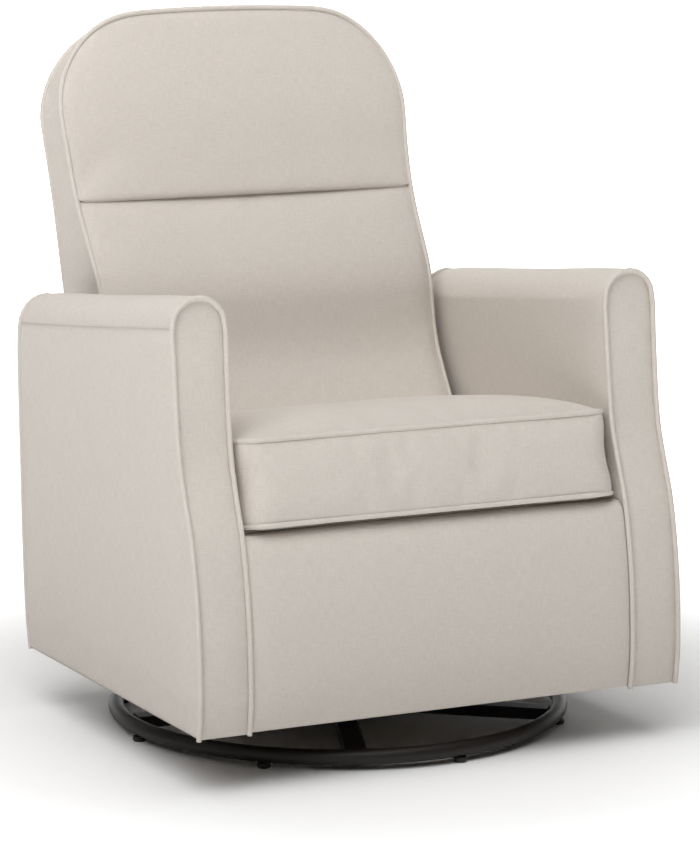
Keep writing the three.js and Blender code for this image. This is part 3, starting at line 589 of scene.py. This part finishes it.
# Back.
back = {
    "steps": (44, 12, 58),
    "rows": (0.02, 0.06, 0.012),
    "sink": 0.003,
    "puff": {"height": 0.004, "width": 0.022},
    "cloth": {"pressure": 1.4, "slack": 0.004, "bend": 6.0, "frames": 14, "cap": 0.003},
    "fill": 0.8,
    "sunk": 0.014,  # the shell's front face, under the pads
}
backFront, backRear = weltLine("back_front_piping"), weltLine("back_rear_piping")


# The back's outline from one welt: (share across, share of height) to a point on the welt's surface.
def outlineOf(line, bottom):
    first, last = int(np.argmin(line[:, 0])), int(np.argmax(line[:, 0]))
    arch = line[first : last + 1]
    run = np.concatenate([[0], np.cumsum(np.linalg.norm(np.diff(arch, axis=0), axis=1))])
    share = 2 * run / run[-1] - 1
    sideLine = line[: first + 1]
    halfWidth = smoothCurve(sideLine[:, 2], -sideLine[:, 0])
    seamY = smoothCurve(line[:, 2], line[:, 1])
    widest = -arch[0, 0]

    def at(u, rise, low=None, high=None):
        topX, topZ = np.interp(u, share, arch[:, 0]), np.interp(u, share, arch[:, 2])
        z = lerp(bottom if low is None else low, topZ if high is None else high, rise)
        x = topX * halfWidth(np.minimum(z, arch[0, 2])) / widest
        return x, seamY(z), z

    return at


frontAt = outlineOf(backFront, backFront[:, 2].min())
rearAt = outlineOf(backRear, backRear[:, 2].min())


# The upholstered frame of the back, between its two welts.
def shellPoint(cube):
    u, v, w = cube.T
    through, rise = (v + 1) / 2, (w + 1) / 2
    ends = [np.stack(at(u, rise), 1) for at in (frontAt, rearAt)]
    co = lerp(ends[0], ends[1], through[:, None])
    inside = (v < -sideAt) & (np.abs(u) < sideAt) & (np.abs(w) < sideAt)
    co[:, 1] += np.where(inside, back["sunk"], 0)
    return co


def shellSeam(cube):
    u, v, w = cube.T
    rim = (np.abs(u) > sideAt) | (w > sideAt)
    return ((np.abs(v) > sideAt) & rim) | (w < -sideAt) | (v < -sideAt)


makeCover("backShell", back, shellPoint, shellSeam, stands=("back_pad", "back_frame"))

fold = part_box("headrest_pad")[0].z
lowerPad = {
    "steps": (50, 5, 42),
    "rows": (0.012, 0.4, 0.016),
    "sink": 0.003,
    "puff": {"height": 0.009, "width": 0.05},
    "cloth": {"pressure": 1.6, "slack": 0.002, "bend": 8.0, "frames": 16, "cap": 0.004},
    "fill": 0.8,
    "crown": 0.008,
    "crownPower": 4,
    "depth": 0.012,
    "narrow": 0.02,  # share that the pad's back is narrower by
    "tuck": 0.006,  # how far it dives under the fold
    "tuckBelow": 0.02,
    "tuckOver": 0.03,
    "tuckPower": 12,
    "rise": 0.012,
}
headrest = {
    "steps": (50, 6, 28),
    "rows": (0.012, 0.3, 0.022),
    "sink": 0.003,
    "puff": {"height": 0.008, "width": 0.045},
    "cloth": {"pressure": 1.6, "slack": 0.002, "bend": 8.0, "frames": 16, "cap": 0.003},
    "fill": 0.85,
    "crown": 0.006,
    "crownPower": 3,
    "depth": 0.012,
    "narrow": 0.02,
    "overhang": 0.002,  # how far it hangs out over the fold
    "overhangHeight": 0.10,
    "overhangPower": 6,
    "overhangBack": 0.2,  # share of it that the pad's back takes
}


# The lower pad bulges forward and dives under the headrest at the fold.
def lowerPoint(cube):
    u, v, w = cube.T
    rise = (w + 1) / 2
    x, y, z = frontAt(u, rise, high=fold + lowerPad["rise"])
    crown = lowerPad["crown"] * (1 - u**2) * (1 - np.clip(w, 0, 1) ** lowerPad["crownPower"])
    under = ease((z - (fold - lowerPad["tuckBelow"])) / lowerPad["tuckOver"])
    tuck = lowerPad["tuck"] * (1 - u ** lowerPad["tuckPower"]) * under
    y = y + tuck - np.where(v < 0, crown, 0) + (v + 1) / 2 * lowerPad["depth"]
    x = x * (1 - lowerPad["narrow"] * (v + 1) / 2)
    return np.stack([x, y, z], 1)


def lowerSeam(cube):
    u, v, w = cube.T
    return (np.abs(u) > sideAt) | (np.abs(w) > sideAt) | (v > sideAt)


makeCover("backLowerPad", lowerPad, lowerPoint, lowerSeam)


# The headrest starts at the fold and hangs a little over it.
def headPoint(cube):
    u, v, w = cube.T
    rise = (w + 1) / 2
    x, y, z = frontAt(u, rise, low=fold)
    crown = headrest["crown"] * (1 - u**2) * (1 - np.clip(w, 0, 1) ** headrest["crownPower"])
    low = ease((headrest["overhangHeight"] - (z - fold)) / headrest["overhangHeight"])
    over = headrest["overhang"] * (1 - u ** headrest["overhangPower"]) * low
    out = np.where(v < 0, crown + over, over * headrest["overhangBack"])
    y = y - out + (v + 1) / 2 * headrest["depth"]
    x = x * (1 - headrest["narrow"] * (v + 1) / 2)
    return np.stack([x, y, z], 1)


def headSeam(cube):
    u, v, w = cube.T
    return (np.abs(u) > sideAt) | (w > sideAt) | (v > sideAt)


makeCover("headrestPad", headrest, headPoint, headSeam, stands=("headrest_pad",))
makeWelt("backFrontWelt", backFront, "chair", ("back_front_piping",))
makeWelt("backRearWelt", backRear, "chair", ("back_rear_piping",))
print("back done")

# Seat cushion.
cushion = {
    "steps": (58, 50, 14),
    "rows": (0.012, 0.014, 0.055),
    "sink": 0.003,
    "puff": {"height": 0.005, "width": 0.028},
    "cloth": {"pressure": 2.0, "slack": 0.005, "bend": 6.0, "frames": 16, "cap": 0.004},
    "fill": 0.8,
    "corner": 0.024,
    "crown": 0.024,
    "crownPower": 4.5,
    "sideEase": 0.009,  # hollow of the side walls between the two welts
}
cushionTop = weltLine("cushion_piping_top", True)
cushionBottom = weltLine("cushion_piping_bottom", True)
pitches = [np.polyfit(line[:, 1], line[:, 2], 1) for line in (cushionBottom, cushionTop)]


# A boxed cushion with rounded corners and a domed top.
def cushionPoint(cube):
    u, v, w = cube.T
    rise = (w + 1) / 2
    reach = lerp(cushionBottom[:, 0].max(), cushionTop[:, 0].max(), rise)
    reach = reach - cushion["sideEase"] * (1 - w**2)
    low = lerp(cushionBottom[:, 1].min(), cushionTop[:, 1].min(), rise)
    high = lerp(cushionBottom[:, 1].max(), cushionTop[:, 1].max(), rise)
    halfY, radius = (high - low) / 2, cushion["corner"]
    cornerX = np.abs(u) * reach - (reach - radius)
    cornerY = np.abs(v) * halfY - (halfY - radius)
    inCorner = (cornerX > 0) & (cornerY > 0)
    shrink = np.maximum(cornerX, cornerY) / np.maximum(np.hypot(cornerX, cornerY), 1e-9)
    x = np.where(inCorner, reach - radius + cornerX * shrink, np.abs(u) * reach)
    y = np.where(inCorner, halfY - radius + cornerY * shrink, np.abs(v) * halfY)
    x, y = np.sign(u) * x, (low + high) / 2 + np.sign(v) * y
    level = lerp(np.polyval(pitches[0], y), np.polyval(pitches[1], y), rise)
    power = cushion["crownPower"]
    dome = cushion["crown"] * (1 - np.abs(u) ** power) * (1 - np.abs(v) ** power)
    dome = dome * np.where(rise > sideAt, 1, 0)
    return np.stack([x, y, level + dome], 1)


def cushionSeam(cube):
    u, v, w = np.abs(cube).T
    return (w > sideAt) & ((u > sideAt) | (v > sideAt))


makeCover(
    "seatCushion", cushion, cushionPoint, cushionSeam, body="cushion", stands=("seat_cushion",)
)
makeWelt("cushionTopWelt", cushionTop, "cushion", ("cushion_piping_top",), closed=True)
makeWelt("cushionBottomWelt", cushionBottom, "cushion", ("cushion_piping_bottom",), closed=True)
print("cushion done")

# Apron, rear panel and deck.
apron = {
    "steps": (60, 3, 30),
    "rows": (0.012, 0.5, 0.02),
    "sink": 0.003,
    "puff": {"height": 0.002, "width": 0.03},
    "cloth": {"pressure": 1.0, "slack": 0.002, "bend": 8.0, "frames": 12, "cap": 0.002},
    "fill": 0.5,
    "thick": 0.018,
    "inset": 0.001,  # behind the arms' seams
    "widen": 0.004,  # into the arms
    "rise": 0.005,
    "curl": 0.009,  # how far the top edge rolls in under the cushion
    "curlFrom": 0.9,
    "curlOver": 0.1,
    "hemDrop": 0.003,
}


# A thin padded panel that follows the front of the arms.
def apronPoint(cube):
    u, v, w = cube.T
    low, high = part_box("apron_pad")
    z = lerp(low.z - apron["hemDrop"], high.z + apron["rise"], (w + 1) / 2)
    rolled = apron["curl"] * ease((w - apron["curlFrom"]) / apron["curlOver"])
    y = armFrontY(z) + apron["inset"] + apron["thick"] * (v + 1) / 2 + rolled
    return np.stack([u * (high.x + apron["widen"]), y, z], 1)


rear = {**apron, "steps": (40, 3, 14), "curlFrom": 0.8, "curlOver": 0.2}


# The same panel behind follows the rear of the arms.
def rearPoint(cube):
    u, v, w = cube.T
    low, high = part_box("rear_panel_pad")
    z = lerp(low.z - rear["hemDrop"], high.z + rear["rise"], (w + 1) / 2)
    rolled = rear["curl"] * ease((w - rear["curlFrom"]) / rear["curlOver"])
    y = armRearY(z) - rear["inset"] - rear["thick"] * (1 - v) / 2 - rolled
    return np.stack([u * (high.x + rear["widen"]), y, z], 1)


def panelSeam(cube):
    u, v, w = np.abs(cube).T
    return (u > sideAt) | (w > sideAt)


makeCover("apronPanel", apron, apronPoint, panelSeam, stands=("apron_pad",))
makeCover("rearPanel", rear, rearPoint, panelSeam, stands=("rear_panel_pad",))

deck = {
    "steps": (30, 24, 2),
    "rows": (0.02, 0.02, 0.9),
    "sink": 0.0,
    "puff": {"height": 0.001, "width": 0.03},
    "fill": 0.5,
    "finish": (deckCloth, "deck_cloth"),
}


# The lining cloth over the springs, on the slope of the cushion's underside.
def deckPoint(cube):
    u, v, w = cube.T
    low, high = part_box("seat_deck")
    slope = pitches[0][0]
    y = lerp(low.y, high.y, (v + 1) / 2)
    thick = (high.z - low.z) + slope * (high.y - low.y)
    top = high.z + slope * (y - low.y)
    return np.stack([u * high.x, y, top - thick * (1 - w) / 2], 1)


makeCover("seatDeckCloth", deck, deckPoint, panelSeam, stands=("seat_deck",))
print("panels done")

# Metal base and mechanism.
ring = {"sides": 20, "steps": 144}


# The base ring is one tube bent round and welded.
def makeRing():
    low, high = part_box("base_ring")
    centre, tube = (low + high) / 2, (high.z - low.z) / 2
    bm = bmesh.new()
    upright = Matrix.Rotation(math.pi / 2, 4, "X")
    bmesh.ops.create_circle(bm, segments=ring["sides"], radius=tube, matrix=upright)
    bmesh.ops.translate(bm, verts=bm.verts, vec=((high.x - low.x) / 2 - tube, 0, 0))
    bmesh.ops.spin(
        bm, geom=bm.verts[:] + bm.edges[:], cent=(0, 0, 0), axis=(0, 0, 1), angle=2 * math.pi,
        steps=ring["steps"], use_merge=True, use_duplicate=False,
    )
    bmesh.ops.translate(bm, verts=bm.verts, vec=centre)
    bmesh.ops.recalc_face_normals(bm, faces=bm.faces)
    return addPiece("baseRing", bm, "base", bronze, ("base_ring",))


makeRing()
edges = {
    "weld": 0.00002,
    "metal": 0.0009,  # width of the rounding
    "wood": 0.0015,
    "segments": 2,
    "angle": math.radians(38),  # corners sharper than this are rounded
}
finishes = {"bronze_powder_coat": bronze, "zinc_steel": zinc, "glide_nylon": nylon, "wood": timber}
slots = {part["node"]: part["material_slot"] for part in frame["record"]["subparts"]}
for name, node in nodes.items():
    if node.hide_render or slots[name] not in finishes:
        continue
    node.data.materials.clear()
    node.data.materials.append(finishes[slots[name]])
    node.data.polygons.foreach_set("use_smooth", [True] * len(node.data.polygons))
    weld = node.modifiers.new("weld", "WELD")
    weld.merge_threshold = edges["weld"]
    bevel = node.modifiers.new("bevel", "BEVEL")
    bevel.width = edges["wood"] if slots[name] == "wood" else edges["metal"]
    bevel.segments = edges["segments"]
    bevel.limit_method = "ANGLE"
    bevel.angle_limit = edges["angle"]
    shade = node.modifiers.new("shade", "WEIGHTED_NORMAL")
    shade.keep_sharp = True
print("hardware done")

# Floor, light, camera.
axisLow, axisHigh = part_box("hub")
axisY = (axisLow.y + axisHigh.y) / 2
view = {
    "azimuth": -26.5,
    "elevation": 9.65,
    "distance": 4.8966,
    "lens": 151.6,
    "sensor": 36,
    "clip": 60,
    "aim": (0.0185, axisY, 0.3967),
}
# The floor and wall glow softly from a little way off, so that they read as a white studio.
stage = {
    "reach": 9.0,  # half the floor's width, and how far off the wall stands
    "height": 7.0,
    "turn": math.radians(view["azimuth"]),  # square to the camera
    "calm": 0.45,  # no glow nearer than this
    "bright": 1.4,  # full glow from here on
    "floorGlow": 1.0,
    "wallGlow": 1.2,
    "roughness": 0.9,
    "shine": 0.1,
    "aimHeight": 0.45,  # where the lamps point
    "air": 0.05,  # faint light from all round
}


# A flat studio surface that glows away from the chair.
def addStagePiece(name, corners, colour, glow):
    material, tree, shader = newMaterial(name + "Paint")
    shader.inputs["Base Color"].default_value = hexColour(colour)
    shader.inputs["Roughness"].default_value = stage["roughness"]
    shader.inputs["Specular IOR Level"].default_value = stage["shine"]
    shader.inputs["Emission Color"].default_value = (1, 1, 1, 1)
    where = addNode(tree, "ShaderNodeTexCoord").outputs["Object"]
    away = addNode(tree, "ShaderNodeVectorMath", {0: where}, operation="LENGTH").outputs["Value"]
    ramp = {0: away, 1: stage["calm"], 2: stage["bright"], 3: 0.0, 4: glow}
    rise = addNode(tree, "ShaderNodeMapRange", ramp, interpolation_type="SMOOTHSTEP").outputs[0]
    tree.links.new(rise, shader.inputs["Emission Strength"])
    bm = bmesh.new()
    bm.faces.new([bm.verts.new(corner) for corner in corners])
    mesh = bpy.data.meshes.new(name)
    bm.to_mesh(mesh)
    bm.free()
    mesh.materials.append(material)
    piece = bpy.data.objects.new(name, mesh)
    scene.collection.objects.link(piece)
    piece.rotation_euler.z = stage["turn"]


far, tall = stage["reach"], stage["height"]
floorCorners = ((-far, -far, 0), (far, -far, 0), (far, far, 0), (-far, far, 0))
wallCorners = ((-far, far, 0), (far, far, 0), (far, far, tall), (-far, far, tall))
addStagePiece("studioFloor", floorCorners, "F7F7F7", stage["floorGlow"])
addStagePiece("studioWall", wallCorners, "FFFFFF", stage["wallGlow"])


def addLight(name, light):
    data = bpy.data.lights.new(name, "AREA")
    data.shape, data.energy = "RECTANGLE", light["power"]
    data.size, data.size_y = light["size"]
    lamp = bpy.data.objects.new(name, data)
    scene.collection.objects.link(lamp)
    lamp.location = light["place"]
    lamp.rotation_mode = "QUATERNION"
    downward = Vector((0, 0, stage["aimHeight"])) - Vector(light["place"])
    lamp.rotation_quaternion = downward.to_track_quat("-Z", "Y")


addLight("keyLight", {"place": (-2.2, -2.2, 3.2), "size": (3.0, 2.6), "power": 54})
addLight("topLight", {"place": (-0.5, -0.6, 3.2), "size": (3.2, 3.2), "power": 82})
addLight("sideLight", {"place": (-3.0, 0.2, 2.4), "size": (2.4, 2.4), "power": 5})
world = bpy.data.worlds.new("studioAir")
scene.world = world
world.use_nodes = True
world.node_tree.nodes["Background"].inputs[0].default_value = (1, 1, 1, 1)
world.node_tree.nodes["Background"].inputs[1].default_value = stage["air"]
scene.view_settings.view_transform = "Standard"

azimuth, elevation = math.radians(view["azimuth"]), math.radians(view["elevation"])
flat = math.cos(elevation)
outward = Vector((math.sin(azimuth) * flat, -math.cos(azimuth) * flat, math.sin(elevation)))
camera = bpy.data.objects.new("camera", bpy.data.cameras.new("camera"))
scene.collection.objects.link(camera)
camera.location = Vector(view["aim"]) + outward * view["distance"]
camera.rotation_mode = "QUATERNION"
camera.rotation_quaternion = (-outward).to_track_quat("-Z", "Y")
camera.data.lens = view["lens"]
camera.data.sensor_width = view["sensor"]
camera.data.clip_end = view["clip"]
camera.data.dof.use_dof = False
scene.camera = camera
print("stage done")
